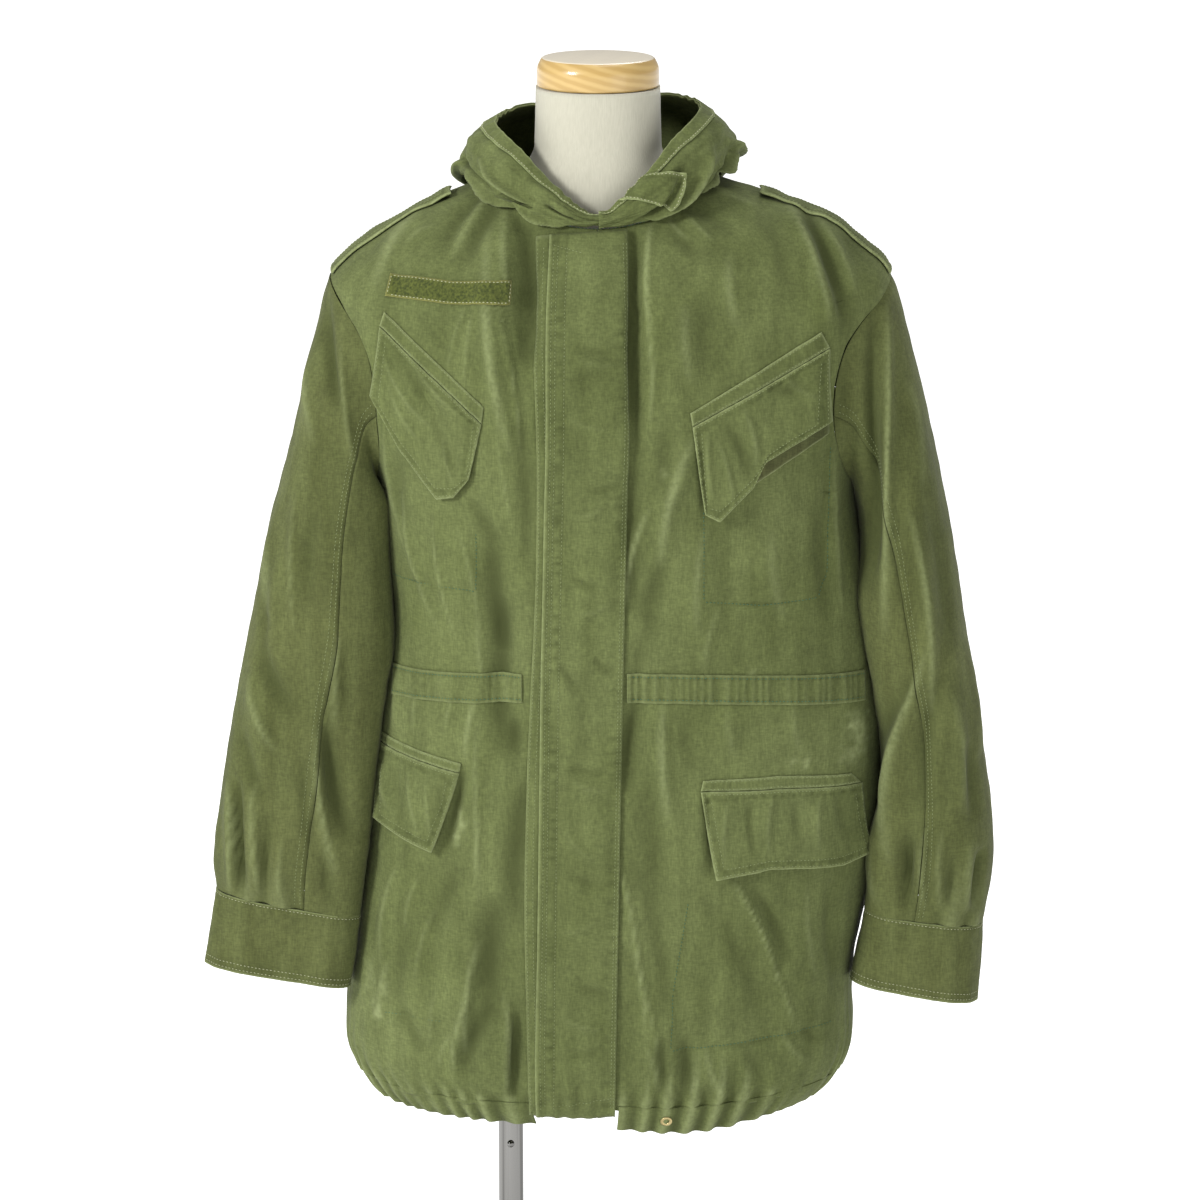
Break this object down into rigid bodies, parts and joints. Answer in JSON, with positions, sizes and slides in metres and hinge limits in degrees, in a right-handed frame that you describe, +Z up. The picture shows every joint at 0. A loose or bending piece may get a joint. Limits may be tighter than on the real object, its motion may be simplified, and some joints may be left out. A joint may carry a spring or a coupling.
{
  "type": "field jacket on dress form",
  "caption": "Hooded field jacket with slanted chest pockets and a gathered hem, worn on a limbless dress form with a pole stand.",
  "frame": {"origin": "centre of the stand foot's underside", "axes": "+Z up, the jacket's front faces -Y, +X to the viewer's right"},
  "size_m": [0.7476, 0.36, 1.5003],
  "materials": {
    "cloth": "worn olive cotton sateen",
    "tape": "olive fastening tape",
    "form_cover": "cream knit cover",
    "wood": "glossy varnish",
    "steel": "polished",
    "brass": "aged"
  },
  "bodies": {
    "root": {"front_left": "cloth", "front_right": "cloth", "back": "cloth", "hem_left": "cloth", "hem_right": "cloth", "hem_back": "cloth", "chest_welt_left": "cloth", "chest_flap_left": "cloth", "chest_welt_right": "cloth", "chest_flap_right": "cloth", "lower_welt_left": "cloth", "lower_flap_left": "cloth", "lower_welt_right": "cloth", "lower_flap_right": "cloth", "name_tape": "tape", "chest_hook_strip": "tape", "underlap": "cloth", "fly": "cloth", "waist_tunnel_left": "cloth", "waist_tunnel_right": "cloth", "waist_tunnel_back": "cloth", "epaulette_left": "cloth", "epaulette_right": "cloth", "sleeve_left_top": "cloth", "sleeve_left_under": "cloth", "sleeve_right_top": "cloth", "sleeve_right_under": "cloth", "cuff_left": "cloth", "cuff_right": "cloth", "hood": "cloth", "hood_casing": "cloth", "throat_tab": "cloth", "form_torso": "form_cover", "form_cap": "wood", "pole": "steel", "pole_collar": "steel", "foot": "steel", "pole_button": "steel", "hem_eyelet": "brass"}
  },
  "joints": []
}
